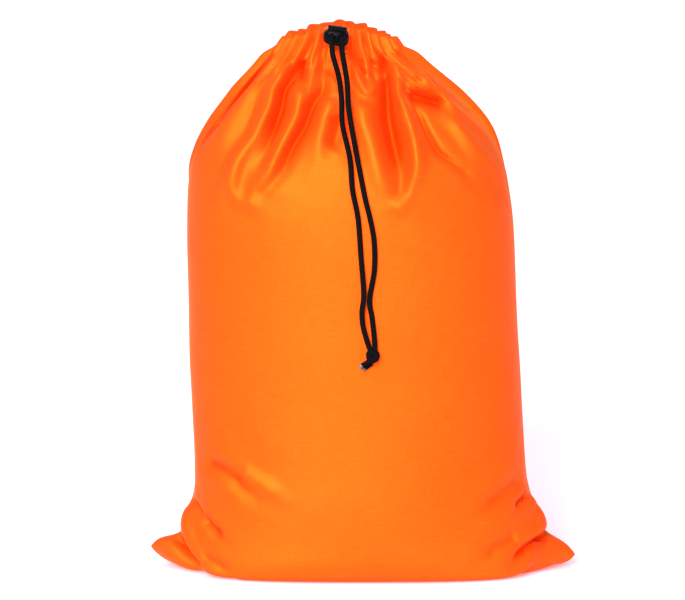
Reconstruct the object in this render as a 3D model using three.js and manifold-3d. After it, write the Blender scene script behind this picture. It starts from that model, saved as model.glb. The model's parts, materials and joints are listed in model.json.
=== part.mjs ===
// A drawcord stuff sack, standing full: two sewn cloth panels with ears at the base corners, a drawn
// mouth with a turned-in channel, one drawcord, and a twin-hole spring cord lock.
// Millimetres, +Z up. The front faces -Y. The origin is on the floor below the middle of the base.

import * as THREE from 'three';
import { mergeVertices } from 'three/addons/utils/BufferGeometryUtils.js';
import Module from 'manifold-3d';

const wasm = await Module();
wasm.setup();

// ---- driving dimensions ----

// Cloth. Each panel is swept in rows from the bottom seam up to the mouth. A row runs from side seam
// to side seam, and is placed by one point of the middle line and one point of the seam line.
const CLOTH = 0.8;
const GAP = 0.3;
const COLUMNS = 32;
const MIDDLE_LINE = [
  // [depth in front of the seams, height]
  [0, 0], [40, 0], [76, 0], [92, 14], [97, 60], [98.5, 200],
  [98, 340], [88, 398], [67, 448], [50, 479], [35.5, 504.5],
];
const SEAM_LINE = [
  // [half width, height], from the tip of the ear to the mouth
  [196.4, 18], [187, 27], [172, 35], [165, 56], [155.5, 95], [153, 215],
  [150, 338], [138, 389], [101, 438], [67, 470], [50.5, 493],
];
const STITCH_ROW = MIDDLE_LINE.length - 2;
const FOLD_ROW = MIDDLE_LINE.length - 1;
const ROWS_PER_SPAN = 2;
const SQUARENESS = 2.2;
const LEAN_LINE = [
  // [height, sideways lean]
  [40, 0], [120, -3.5], [200, -7.5], [300, -11.3], [400, -13], [420, -13.2], [442, -16], [465, -20.5],
  [490, -23], [520, -23.5],
];
// How far from the middle a row starts to rise to its seam, and how sharply, from the base to the mouth.
const RISE_START = 0.3;
const RISE_ROWS = [3, 8];
const EAR_RISE_POWER = 6;
const MOUTH_RISE_POWER = 2;

// Mouth: the top of each panel turns in over the drawcord and is stitched down.
const CHANNEL_DEPTH = 8;
const FOLD_STEPS = 4;
const PLEATS = 8;
const PLEAT_DEPTH = 6;
const PLEAT_START_ROW = 6.5;
const PLEAT_OVER_CREST = 0.6;
// Distances from the lock's middle between which the pleats grow to their full depth.
const FLAT_BY_LOCK = [18, 26];

// Drawcord
const CORD_DIAMETER = 5;
const CORD_SIDES = 10;
const KNOT_CENTRE = [8.4, -106.8, 212];
const KNOT_DIAMETER = 13;

// Cord lock, in its own frame: x across, y along the cord holes to the back, z up the button.
const LOCK_CENTRE = [-24.5, -54.5, 496];
const LOCK_TILT = THREE.MathUtils.degToRad(8);
const LOCK_ROLL = THREE.MathUtils.degToRad(8);
const LOCK_SIZE = [23.4, 14.4, 14.4];
const LOCK_ROUNDNESS = 3.2;
const LOCK_FLOOR = -5.8;
const LOCK_FLAT_TOP = 0.5;
const HOLE_PITCH = 9.1;
const HOLE_DIAMETER = 6.2;
const HOLE_HEIGHT = 1.2;
const CORD_RISE = 0.2;
const HOLE_LENGTH = 30;
const HOLE_SIDES = 20;
const BUTTON_SIZE = [17.2, 6.6];
const BUTTON_CLEARANCE = 0.35;
const BUTTON_TOP = 10.6;
const BUTTON_BOTTOM = -2.7;
const BUTTON_TRAVEL = 2.4;
const BUTTON_CORNER = 1.4;
const BUTTON_BEVEL = 0.6;
const SPRING_WIRE = 0.5;
const SPRING_TURNS = 3;
const SPRING_RADII = [2.8, 1.3];
const SPRING_CLEARANCE = 0.1;
const SLIDE_TRAVEL = 12;

// Stitching
const THREAD_DIAMETER = 1;
const THREAD_SIDES = 6;
const THREAD_CLEARANCE = 0.35;
const SEAM_THREAD_DEPTH = 1.8;
const BUTTONHOLE_SIZE = [10, 7.4];
const BUTTONHOLE_CENTRE = [6.5, 499.1];
// The front layer of the channel, which a buttonhole goes through, lies between these depths.
const BUTTONHOLE_CUT = [-43.5, -32.5];
const BUTTONHOLE_BORDER = 0.7;
const BUTTONHOLE_BORDER_DEPTH = 5;
const BUTTONHOLE_BORDER_LIFT = 1.35;

// ---- colours ----

const material = (color, roughness) => new THREE.MeshStandardMaterial({ color, roughness });
const ORANGE_CLOTH = () => material(0xfd6a14, 0.7);
const ORANGE_THREAD = () => material(0xf05a10, 0.8);
const BLACK_CORD = () => material(0x0b0b0d, 0.85);
const BLACK_PLASTIC = () => material(0x08080a, 0.25);
const SEALED_CORD = () => material(0x55565a, 0.35);
const SPRING_STEEL = () => {
  const steel = material(0xb8babd, 0.3);
  steel.metalness = 1;
  return steel;
};

const sack = new THREE.Group();

function add(name, geometry, look, parent = sack) {
  const mesh = new THREE.Mesh(geometry, look);
  mesh.name = name;
  parent.add(mesh);
  return mesh;
}

// ---- small geometry helpers ----

// A line given by a formula, stepped evenly in the formula's own parameter.
class FormulaLine extends THREE.Curve {
  constructor(formula) {
    super();
    this.formula = formula;
  }

  getPoint(t) {
    return this.formula(t);
  }

  getUtoTmapping(u) {
    return u;
  }
}

function roundSection(diameter, sides) {
  const section = new THREE.Shape();
  for (let i = 0; i < sides; i++) {
    const turn = (2 * Math.PI * i) / sides;
    const [x, y] = [(diameter / 2) * Math.cos(turn), (diameter / 2) * Math.sin(turn)];
    if (i === 0) section.moveTo(x, y);
    else section.lineTo(x, y);
  }
  section.closePath();
  return section;
}

function tube(line, diameter, steps, sides) {
  return new THREE.ExtrudeGeometry(roundSection(diameter, sides), { extrudePath: line, steps });
}

function toSolid(geometry) {
  const bare = geometry.clone();
  bare.deleteAttribute('normal');
  bare.deleteAttribute('uv');
  const merged = mergeVertices(bare, 1e-4);
  const vertProperties = new Float32Array(merged.attributes.position.array);
  const triVerts = new Uint32Array(merged.index.array);
  return new wasm.Manifold(new wasm.Mesh({ numProp: 3, vertProperties, triVerts }));
}

function toGeometry(solid) {
  const { vertProperties, triVerts } = solid.getMesh();
  const geometry = new THREE.BufferGeometry();
  geometry.setAttribute('position', new THREE.BufferAttribute(vertProperties, 3));
  geometry.setIndex(new THREE.BufferAttribute(triVerts, 1));
  geometry.computeVertexNormals();
  return geometry;
}

function cut(geometry, cutters) {
  let solid = toSolid(geometry);
  for (const cutter of cutters) solid = solid.subtract(toSolid(cutter));
  return toGeometry(solid);
}

const smooth = (x, low, high) => THREE.MathUtils.smoothstep(x, low, high);
const signedPower = (x, power) => Math.sign(x) * Math.abs(x) ** power;

// ---- the cloth surface ----

const middleLine = new THREE.CatmullRomCurve3(
  MIDDLE_LINE.map(([depth, height]) => new THREE.Vector3(0, depth, height)),
);
const seamLine = new THREE.CatmullRomCurve3(
  SEAM_LINE.map(([halfWidth, height]) => new THREE.Vector3(halfWidth, 0, height)),
);

function leanAt(height) {
  const above = LEAN_LINE.findIndex(([top]) => height < top);
  if (above === 0) return LEAN_LINE[0][1];
  const [[low, leanLow], [high, leanHigh]] = LEAN_LINE.slice(above - 1, above + 1);
  return THREE.MathUtils.mapLinear(height, low, high, leanLow, leanHigh);
}

// The front panel's outer face. row counts up the two lines, turn runs from 0 at the right side seam
// to pi at the left one. Without pleats it is the smooth surface that the channel is measured from.
function smoothCloth(row, turn) {
  const middle = middleLine.getPoint(row / FOLD_ROW);
  const seam = seamLine.getPoint(row / FOLD_ROW);
  const across = signedPower(Math.cos(turn), 2 / SQUARENESS);
  const forward = Math.abs(Math.sin(turn)) ** (2 / SQUARENESS);
  const risePower = THREE.MathUtils.lerp(EAR_RISE_POWER, MOUTH_RISE_POWER, smooth(row, ...RISE_ROWS));
  const rise = Math.max(0, (Math.abs(across) - RISE_START) / (1 - RISE_START)) ** risePower;
  const height = Math.max(0, THREE.MathUtils.lerp(middle.z, seam.z, rise));
  return new THREE.Vector3(leanAt(height) + seam.x * across, -GAP / 2 - middle.y * forward, height);
}

// Outward direction of the smooth surface. On a seam it stays in the plane between the panels.
function outward(row, turn) {
  const step = 1e-3;
  const low = smoothCloth(Math.max(row - step, 0), turn);
  const high = smoothCloth(Math.min(row + step, FOLD_ROW), turn);
  const right = smoothCloth(row, Math.max(turn - step, 0));
  const left = smoothCloth(row, Math.min(turn + step, Math.PI));
  const up = high.sub(low);
  const onSeam = turn <= 0 || turn >= Math.PI;
  const around = onSeam ? new THREE.Vector3(0, -Math.cos(turn), 0) : left.sub(right);
  return new THREE.Vector3().crossVectors(up, around).normalize();
}

// Soft gathers swell out between the pinched lines. They die out down the sack, and the cloth lies
// flat at the buttonholes.
function pleat(row, turn) {
  const point = smoothCloth(row, turn);
  const clearOfLock = smooth(Math.abs(point.x - LOCK_CENTRE[0]), ...FLAT_BY_LOCK);
  const reach = smooth(row, PLEAT_START_ROW, STITCH_ROW) * (row > STITCH_ROW ? PLEAT_OVER_CREST : 1);
  return PLEAT_DEPTH * reach * clearOfLock * (0.5 - 0.5 * Math.cos(2 * PLEATS * turn));
}

const offset = (point, direction, distance) => point.clone().addScaledVector(direction, distance);

const clothFace = (row, turn) => offset(smoothCloth(row, turn), outward(row, turn), pleat(row, turn));

// Middle of the tunnel, where the drawcord lies.
const tunnelCentre = (row, turn) => offset(smoothCloth(row, turn), outward(row, turn), -CHANNEL_DEPTH / 2);

// One line of the panel's outer face, from the bottom seam up, over the fold and down inside to the
// stitching, at one turn.
function panelLine(turn) {
  const line = [];
  for (let i = 0; i <= FOLD_ROW * ROWS_PER_SPAN; i++) line.push(clothFace(i / ROWS_PER_SPAN, turn));
  const out = outward(FOLD_ROW, turn);
  const centre = tunnelCentre(FOLD_ROW, turn);
  const below = smoothCloth(FOLD_ROW - 0.01, turn);
  const up = smoothCloth(FOLD_ROW, turn).sub(below);
  up.addScaledVector(out, -up.dot(out)).normalize();
  for (let i = 1; i <= FOLD_STEPS; i++) {
    const angle = (Math.PI * i) / FOLD_STEPS;
    const radius = CHANNEL_DEPTH / 2 + 0.5 * (1 + Math.cos(angle)) * pleat(FOLD_ROW, turn);
    line.push(offset(offset(centre, out, radius * Math.cos(angle)), up, radius * Math.sin(angle)));
  }
  const insideSteps = ROWS_PER_SPAN;
  for (let i = 1; i <= insideSteps; i++) {
    const row = FOLD_ROW - (i * (FOLD_ROW - STITCH_ROW)) / insideSteps;
    const depth = i < insideSteps ? CHANNEL_DEPTH : 2 * CLOTH + GAP;
    line.push(offset(smoothCloth(row, turn), outward(row, turn), -depth));
  }
  return line.map((point) => point.setY(Math.min(point.y, -GAP / 2)));
}

const packed = (points) => new THREE.BufferAttribute(new Float32Array(points.flatMap((p) => [...p])), 3);

// A closed sheet of cloth behind a grid of face points, given as columns of points.
function sheet(columns) {
  const width = columns.length;
  const height = columns[0].length;
  const face = new THREE.BufferGeometry();
  const flat = columns.flat();
  face.setAttribute('position', packed(flat));
  const at = (i, j) => i * height + j;
  const outer = [];
  for (let i = 0; i + 1 < width; i++) {
    for (let j = 0; j + 1 < height; j++) {
      outer.push(at(i, j), at(i, j + 1), at(i + 1, j), at(i + 1, j), at(i, j + 1), at(i + 1, j + 1));
    }
  }
  face.setIndex(outer);
  face.computeVertexNormals();
  const normals = face.attributes.normal;
  const points = [...flat];
  flat.forEach((point, index) => {
    const normal = new THREE.Vector3().fromBufferAttribute(normals, index);
    const column = Math.floor(index / height);
    const onSeam = column === 0 || column === width - 1 || index % height === 0;
    if (onSeam) normal.setY(0).normalize();
    const inner = offset(point, normal, -CLOTH);
    inner.y = onSeam ? point.y : Math.min(inner.y, -GAP / 2);
    points.push(inner);
  });
  const inside = flat.length;
  const faces = [...outer];
  for (let i = 0; i < outer.length; i += 3) {
    faces.push(outer[i] + inside, outer[i + 2] + inside, outer[i + 1] + inside);
  }
  const edge = [];
  for (let i = 0; i < width - 1; i++) edge.push(at(i, 0));
  for (let j = 0; j < height - 1; j++) edge.push(at(width - 1, j));
  for (let i = width - 1; i > 0; i--) edge.push(at(i, height - 1));
  for (let j = height - 1; j > 0; j--) edge.push(at(0, j));
  edge.forEach((a, k) => {
    const b = edge[(k + 1) % edge.length];
    faces.push(a, b, a + inside, b, b + inside, a + inside);
  });
  const solid = new THREE.BufferGeometry();
  solid.setAttribute('position', packed(points));
  solid.setIndex(faces);
  solid.computeVertexNormals();
  return solid;
}

function frontPanelSheet() {
  const columns = [];
  for (let i = 0; i <= COLUMNS; i++) columns.push(panelLine((Math.PI * i) / COLUMNS));
  return sheet(columns);
}

// A solid turned to the other side of the seams.
function mirroredToBack(geometry) {
  const back = geometry.clone().scale(1, -1, 1);
  const index = back.index.array;
  for (let i = 0; i < index.length; i += 3) [index[i], index[i + 1]] = [index[i + 1], index[i]];
  back.computeVertexNormals();
  return back;
}

function buttonhole(side) {
  const [width, height] = BUTTONHOLE_SIZE;
  const slot = new THREE.Shape();
  slot.absarc(width / 2 - height / 2, 0, height / 2, -Math.PI / 2, Math.PI / 2);
  slot.absarc(height / 2 - width / 2, 0, height / 2, Math.PI / 2, 1.5 * Math.PI);
  const [front, back] = BUTTONHOLE_CUT;
  const cutter = new THREE.ExtrudeGeometry(slot, {
    depth: back - front, bevelEnabled: false, curveSegments: 6,
  });
  cutter.rotateX(Math.PI / 2);
  return cutter.translate(LOCK_CENTRE[0] + side * BUTTONHOLE_CENTRE[0], back, BUTTONHOLE_CENTRE[1]);
}

const panel = frontPanelSheet();
add('front_panel', cut(panel, [buttonhole(-1), buttonhole(1)]), ORANGE_CLOTH());
add('back_panel', mirroredToBack(panel), ORANGE_CLOTH());

// ---- stitching ----

// Thread of a side seam, inside the sack behind the joined panel edges.
function sideSeamThread(turn) {
  const [first, last] = [1, STITCH_ROW - 0.5];
  const line = new FormulaLine((t) => {
    const row = THREE.MathUtils.lerp(first, last, t);
    return offset(smoothCloth(row, turn), outward(row, turn), -SEAM_THREAD_DEPTH).setY(0);
  });
  return tube(line, THREAD_DIAMETER, (last - first) * ROWS_PER_SPAN, THREAD_SIDES);
}

function bottomSeamThread() {
  const margin = 3;
  const steps = COLUMNS - 2 * margin;
  const line = new FormulaLine((t) => {
    const turn = (Math.PI * (margin + t * steps)) / COLUMNS;
    const point = smoothCloth(0, turn);
    return new THREE.Vector3(point.x, 0, point.z + SEAM_THREAD_DEPTH);
  });
  return tube(line, THREAD_DIAMETER, steps, THREAD_SIDES);
}

// The row of stitching that closes the channel, on the outer face of one panel.
function channelThread() {
  const line = new FormulaLine((t) => {
    const turn = (Math.PI * (1 + t * (COLUMNS - 2))) / COLUMNS;
    const out = outward(STITCH_ROW, turn);
    return offset(clothFace(STITCH_ROW, turn), out, THREAD_DIAMETER / 2 + GAP + THREAD_CLEARANCE);
  });
  return tube(line, THREAD_DIAMETER, COLUMNS - 2, THREAD_SIDES);
}

function buttonholeThread(side) {
  const [width, height] = BUTTONHOLE_SIZE;
  const ring = new THREE.TorusGeometry(1, 0.1, THREAD_SIDES, 20);
  ring.scale(width / 2 + BUTTONHOLE_BORDER, height / 2 + BUTTONHOLE_BORDER, BUTTONHOLE_BORDER_DEPTH);
  ring.rotateX(Math.PI / 2);
  const turn = Math.PI / 2;
  const row = FOLD_ROW - 0.18;
  ring.rotateX(-Math.asin(outward(row, turn).z));
  const wall = clothFace(row, turn);
  const x = LOCK_CENTRE[0] + side * BUTTONHOLE_CENTRE[0];
  return ring.translate(x, wall.y - BUTTONHOLE_BORDER_LIFT, BUTTONHOLE_CENTRE[1]);
}

add('side_seam_thread_right', sideSeamThread(0), ORANGE_THREAD());
add('side_seam_thread_left', sideSeamThread(Math.PI), ORANGE_THREAD());
add('bottom_seam_thread', bottomSeamThread(), ORANGE_THREAD());
const channelRow = channelThread();
add('channel_stitching_front', channelRow, ORANGE_THREAD());
add('channel_stitching_back', mirroredToBack(mergeVertices(channelRow)), ORANGE_THREAD());
add('buttonhole_stitching_left', buttonholeThread(-1), ORANGE_THREAD());
add('buttonhole_stitching_right', buttonholeThread(1), ORANGE_THREAD());

// ---- cord lock ----

const lockFrame = new THREE.Group();
lockFrame.position.set(...LOCK_CENTRE);
lockFrame.rotation.set(LOCK_TILT, LOCK_ROLL, 0);
lockFrame.updateMatrix();
sack.add(lockFrame);

const inLock = (x, y, z) => new THREE.Vector3(x, y, z).applyMatrix4(lockFrame.matrix);

function roundedLump() {
  const ball = new THREE.SphereGeometry(1, 26, 16).deleteAttribute('normal').deleteAttribute('uv');
  const lump = mergeVertices(ball);
  const place = lump.attributes.position;
  for (let i = 0; i < place.count; i++) {
    const point = new THREE.Vector3().fromBufferAttribute(place, i);
    const size = [point.x, point.y, point.z].reduce((sum, c) => sum + Math.abs(c) ** LOCK_ROUNDNESS, 0);
    point.multiplyScalar(size ** (-1 / LOCK_ROUNDNESS));
    place.setXYZ(i, ...point.toArray().map((c, axis) => (c * LOCK_SIZE[axis]) / 2));
  }
  return lump;
}

function cordHole(side, diameter) {
  const hole = new THREE.CylinderGeometry(diameter / 2, diameter / 2, HOLE_LENGTH, HOLE_SIDES);
  return hole.translate((side * HOLE_PITCH) / 2, 0, HOLE_HEIGHT);
}

function box(width, depth, low, high) {
  return new THREE.BoxGeometry(width, depth, high - low).translate(0, 0, (low + high) / 2);
}

function lockBody() {
  const [width, depth] = BUTTON_SIZE.map((size) => size + 2 * BUTTON_CLEARANCE);
  const pocket = box(width, depth, LOCK_FLOOR, LOCK_SIZE[2]);
  const top = LOCK_SIZE[2] / 2 - LOCK_FLAT_TOP;
  const flatTop = box(2 * LOCK_SIZE[0], 2 * LOCK_SIZE[1], top, LOCK_SIZE[2]);
  const holes = [-1, 1].map((side) => cordHole(side, HOLE_DIAMETER));
  return cut(roundedLump(), [pocket, flatTop, ...holes]);
}

// The button carries its own pair of openings. Each is tall enough for the cord to stay clear of it
// through the whole press, and its lower edge is what lifts against the cord.
function lockButton() {
  const [width, depth] = BUTTON_SIZE;
  const corner = BUTTON_CORNER;
  const bevel = BUTTON_BEVEL;
  const section = new THREE.Shape();
  section.moveTo(-width / 2, -depth / 2 + corner);
  section.absarc(-width / 2 + corner, depth / 2 - corner, corner, Math.PI, Math.PI / 2, true);
  section.absarc(width / 2 - corner, depth / 2 - corner, corner, Math.PI / 2, 0, true);
  section.absarc(width / 2 - corner, -depth / 2 + corner, corner, 0, -Math.PI / 2, true);
  section.absarc(-width / 2 + corner, -depth / 2 + corner, corner, -Math.PI / 2, -Math.PI, true);
  const height = BUTTON_TOP - BUTTON_BOTTOM;
  const edges = { bevelThickness: bevel, bevelSize: bevel, bevelOffset: -bevel, bevelSegments: 2 };
  const block = new THREE.ExtrudeGeometry(section, { depth: height - 2 * bevel, curveSegments: 4, ...edges });
  block.translate(0, 0, BUTTON_BOTTOM + bevel);
  const cordRadius = CORD_DIAMETER / 2 + GAP;
  const low = HOLE_HEIGHT + CORD_RISE - cordRadius;
  const high = HOLE_HEIGHT + CORD_RISE + cordRadius + BUTTON_TRAVEL;
  const openings = [-1, 1].map((side) => {
    const slot = new THREE.Shape();
    slot.absarc(0, high - cordRadius, cordRadius, 0, Math.PI);
    slot.absarc(0, low + cordRadius, cordRadius, Math.PI, 2 * Math.PI);
    const cutter = new THREE.ExtrudeGeometry(slot, { depth: 20, bevelEnabled: false, curveSegments: 10 });
    return cutter.rotateX(Math.PI / 2).translate((side * HOLE_PITCH) / 2, 10, 0);
  });
  return cut(block, openings);
}

// A conical coil, so that its turns nest when the button is pressed home.
function buttonSpring() {
  const low = LOCK_FLOOR + SPRING_WIRE / 2 + SPRING_CLEARANCE;
  const high = BUTTON_BOTTOM - SPRING_WIRE / 2 - SPRING_CLEARANCE;
  const [wide, narrow] = SPRING_RADII;
  const line = new FormulaLine((t) => {
    const turn = 2 * Math.PI * SPRING_TURNS * t;
    const radius = THREE.MathUtils.lerp(wide, narrow, t);
    const height = THREE.MathUtils.lerp(low, high, t);
    return new THREE.Vector3(radius * Math.cos(turn), radius * Math.sin(turn), height);
  });
  return tube(line, SPRING_WIRE, 48, 6);
}

add('cord_lock_body', lockBody(), BLACK_PLASTIC(), lockFrame);
add('cord_lock_button', lockButton(), BLACK_PLASTIC(), lockFrame);
add('cord_lock_spring', buttonSpring(), SPRING_STEEL(), lockFrame);

// ---- drawcord ----

// The stretch inside the channel runs round the mouth, and ends short of the buttonholes.
const CORD_ROW = FOLD_ROW - 0.1;
const RING_END_TURN = 0.31;
const RING_MIDDLE_TURN = Math.PI / 2;

function ringPoint(turn) {
  const isBack = turn < 0 || turn > Math.PI;
  const point = tunnelCentre(CORD_ROW, isBack ? Math.abs(turn < 0 ? turn : 2 * Math.PI - turn) : turn);
  return isBack ? point.setY(-point.y) : point;
}

function channelCord() {
  const first = RING_MIDDLE_TURN + RING_END_TURN;
  const last = RING_MIDDLE_TURN - RING_END_TURN + 2 * Math.PI;
  const line = new FormulaLine((t) => {
    const turn = THREE.MathUtils.lerp(first, last, t);
    return ringPoint(turn > 1.5 * Math.PI ? turn - 2 * Math.PI : turn);
  });
  return tube(line, CORD_DIAMETER, 56, CORD_SIDES);
}

// Where each free end hangs, from the cord lock down to the knot.
const LEFT_HANG = [
  [-28.3, -83.8, 489.5], [-27.4, -87.4, 481], [-22, -88.5, 461], [-19.6, -91.5, 441], [-18.8, -94.5, 419],
  [-12.4, -99.5, 390], [-10, -102, 362], [-4.9, -103, 335], [-2.2, -104, 300], [0.2, -107.6, 268],
  [-1.4, -108.4, 252], [-0.6, -108.2, 240], [2.2, -107.8, 229], [4.6, -107.6, 221.6],
];
const RIGHT_HANG = [
  [-19.4, -83.8, 489], [-18.7, -87.4, 481], [-14.8, -89.4, 458], [-13, -93, 432], [-7.6, -98.5, 400],
  [0.7, -102.3, 357], [5.5, -103, 337], [9.4, -103.3, 316], [9.8, -103.5, 290], [5.6, -102.7, 263],
  [7.6, -102.6, 247], [9.3, -103.6, 233], [10.2, -105.6, 221.6],
];

// Between the channel and the lock a tail bends here, given from the lock's middle line.
const TAIL_BEND = [7.1, -35.4, 499.6];
// Where it runs straight through the lock, given along the lock's own y. It leaves the front far enough
// out for the lock to slide its whole travel.
const TAIL_EXIT = -LOCK_SIZE[1] / 2 - SLIDE_TRAVEL - 3;
const TAIL_STRAIGHT = [12, 5, -5, -16, TAIL_EXIT];
const TAIL_STEPS = 62;

function tail(side, hang) {
  const start = ringPoint(RING_MIDDLE_TURN - side * RING_END_TURN);
  const next = ringPoint(RING_MIDDLE_TURN - side * RING_END_TURN * 0.97);
  const inward = next.sub(start).normalize();
  const x = (side * HOLE_PITCH) / 2;
  const z = HOLE_HEIGHT + CORD_RISE;
  const straight = TAIL_STRAIGHT.map((y) => inLock(x, y, z));
  const [aside, bendY, bendZ] = TAIL_BEND;
  const bend = new THREE.Vector3(LOCK_CENTRE[0] + side * aside, bendY, bendZ);
  const hanging = hang.map((point) => new THREE.Vector3(...point));
  const route = new THREE.CatmullRomCurve3([offset(start, inward, 2 * GAP), bend, ...straight, ...hanging]);
  return tube(route, CORD_DIAMETER, TAIL_STEPS, CORD_SIDES);
}

const KNOT_GROOVE = 0.5;
const KNOT_TURN = 0.3;

// The pulled-down knot as one lump with the grooves between its wraps.
function knot() {
  const profile = [];
  const steps = 14;
  const radius = KNOT_DIAMETER / 2;
  for (let i = 0; i <= steps; i++) {
    const angle = (Math.PI * i) / steps - Math.PI / 2;
    const groove = KNOT_GROOVE * Math.cos(3 * angle) ** 2;
    profile.push(new THREE.Vector2((radius - groove) * Math.cos(angle), radius * Math.sin(angle)));
  }
  profile[0].x = 0;
  profile[steps].x = 0;
  const lump = new THREE.LatheGeometry(profile, 14);
  return lump.rotateX(Math.PI / 2).rotateY(KNOT_TURN).translate(...KNOT_CENTRE);
}

// A cut end below the knot, melted shut and shiny.
function sealedTip(start, end) {
  const line = new THREE.LineCurve3(new THREE.Vector3(...start), new THREE.Vector3(...end));
  const radius = CORD_DIAMETER / 2;
  const length = line.getLength();
  const profile = [
    [0, 0], [radius - 0.4, 0], [radius, 0.6],
    [radius, length - 1.5], [radius - 0.9, length - 0.3], [0, length],
  ].map(([x, y]) => new THREE.Vector2(x, y));
  const tip = new THREE.LatheGeometry(profile, CORD_SIDES);
  const turn = new THREE.Quaternion().setFromUnitVectors(new THREE.Vector3(0, 1, 0), line.getTangent(0));
  return tip.applyQuaternion(turn).translate(...start);
}

add('drawcord_in_channel', channelCord(), BLACK_CORD());
add('cord_tail_left', tail(-1, LEFT_HANG), BLACK_CORD());
add('cord_tail_right', tail(1, RIGHT_HANG), BLACK_CORD());
add('cord_knot', knot(), BLACK_CORD());
add('cord_tip_left', sealedTip([3.4, -108.2, 206.6], [-3.6, -108.2, 202]), SEALED_CORD());
add('cord_tip_right', sealedTip([5.4, -102.7, 203.4], [-1.2, -102.7, 199]), SEALED_CORD());

export default sack;
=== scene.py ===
import json
import math

import bpy
import numpy as np
from mathutils import Matrix, Vector


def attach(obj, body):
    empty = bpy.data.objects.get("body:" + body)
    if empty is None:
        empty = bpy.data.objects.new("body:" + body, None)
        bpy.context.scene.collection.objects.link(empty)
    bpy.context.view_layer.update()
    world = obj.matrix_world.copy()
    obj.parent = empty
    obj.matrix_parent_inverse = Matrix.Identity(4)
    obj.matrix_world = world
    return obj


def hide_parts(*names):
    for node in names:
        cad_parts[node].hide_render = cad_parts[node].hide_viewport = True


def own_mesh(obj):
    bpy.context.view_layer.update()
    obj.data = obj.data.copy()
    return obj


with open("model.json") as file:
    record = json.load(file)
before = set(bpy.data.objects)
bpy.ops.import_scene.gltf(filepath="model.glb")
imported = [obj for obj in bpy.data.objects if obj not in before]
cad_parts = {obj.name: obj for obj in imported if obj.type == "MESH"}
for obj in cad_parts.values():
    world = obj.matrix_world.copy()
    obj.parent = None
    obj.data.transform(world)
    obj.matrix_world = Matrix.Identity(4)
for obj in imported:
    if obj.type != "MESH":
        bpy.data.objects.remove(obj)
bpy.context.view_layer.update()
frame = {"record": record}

# A filled drawcord stuff sack, in metres. The front faces -Y and the sack stands on the floor at z = 0.

MM = 0.001

# ---- camera, light and floor ----

VIEW_TARGET = Vector((-0.0188, 0.0, 0.2515))
VIEW_DISTANCE = 3.0
VIEW_ELEVATION = math.radians(6)
VIEW_WIDTH = 0.637
SENSOR_WIDTH = 36.0
SKY_COLOUR, SKY_STRENGTH = (0.965, 0.955, 1.0, 1), 0.39
# Name, azimuth and elevation it shines from, strength, softness in degrees, colour.
SUNS = [
    ("key", -12, 21, 4.2, 18, (1.0, 0.98, 0.95)),
    ("top", -30, 62, 1.7, 50, (1.0, 1.0, 1.0)),
]
FLOOR_HALF = 400.0
FLOOR_COLOUR, FLOOR_GLOW = (0.93, 0.8, 0.89), 0.3


def link(obj):
    bpy.context.scene.collection.objects.link(obj)
    return obj


def make_camera():
    data = bpy.data.cameras.new("camera")
    data.sensor_width = SENSOR_WIDTH
    data.lens = SENSOR_WIDTH * VIEW_DISTANCE / VIEW_WIDTH
    data.clip_end = 100
    camera = link(bpy.data.objects.new("camera", data))
    back = Vector((0, -math.cos(VIEW_ELEVATION), math.sin(VIEW_ELEVATION)))
    camera.location = VIEW_TARGET + VIEW_DISTANCE * back
    camera.rotation_euler = (-back).to_track_quat("-Z", "Y").to_euler()
    bpy.context.scene.camera = camera


def soft_sun(name, azimuth, elevation, strength, softness, colour):
    data = bpy.data.lights.new(name, "SUN")
    data.energy = strength
    data.angle = math.radians(softness)
    data.color = colour
    lamp = link(bpy.data.objects.new(name, data))
    az, el = math.radians(azimuth), math.radians(elevation)
    towards = Vector((math.sin(az) * math.cos(el), -math.cos(az) * math.cos(el), math.sin(el)))
    lamp.rotation_euler = towards.to_track_quat("Z", "Y").to_euler()


def make_studio():
    world = bpy.data.worlds.new("studio")
    world.use_nodes = True
    sky = world.node_tree.nodes["Background"]
    sky.inputs["Color"].default_value = SKY_COLOUR
    sky.inputs["Strength"].default_value = SKY_STRENGTH
    bpy.context.scene.world = world
    for sun in SUNS:
        soft_sun(*sun)
    corners = [(x * FLOOR_HALF, y * FLOOR_HALF, 0) for x, y in ((-1, -1), (1, -1), (1, 1), (-1, 1))]
    pale = plain_material("floor", FLOOR_COLOUR, 0.9, FLOOR_GLOW)
    mesh_object("floor", corners, [(0, 1, 2, 3)], pale)
    bpy.context.scene.view_settings.view_transform = "Standard"


# ---- mesh helpers ----


def mesh_object(name, points, faces, material, uvs=None, smooth=True):
    mesh = bpy.data.meshes.new(name)
    mesh.from_pydata([tuple(map(float, p)) for p in points], [], [tuple(map(int, f)) for f in faces])
    mesh.polygons.foreach_set("use_smooth", [smooth] * len(mesh.polygons))
    if uvs is not None:
        layer = mesh.uv_layers.new(name="UVMap")
        corner = np.empty(len(mesh.loops), dtype=np.int32)
        mesh.loops.foreach_get("vertex_index", corner)
        layer.data.foreach_set("uv", np.asarray(uvs, dtype=np.float32)[corner].ravel())
    mesh.materials.append(material)
    mesh.validate()
    mesh.update()
    return link(bpy.data.objects.new(name, mesh))


def grid_faces(rows, columns, wrap=False):
    """Quads of a grid of points stored row by row, facing along (along the row) x (up the rows)."""
    i = np.arange(rows - 1)[:, None] * columns
    j = np.arange(columns if wrap else columns - 1)[None]
    k = (j + 1) % columns
    return np.stack([i + j, i + k, i + columns + k, i + columns + j], -1).reshape(-1, 4)


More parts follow.
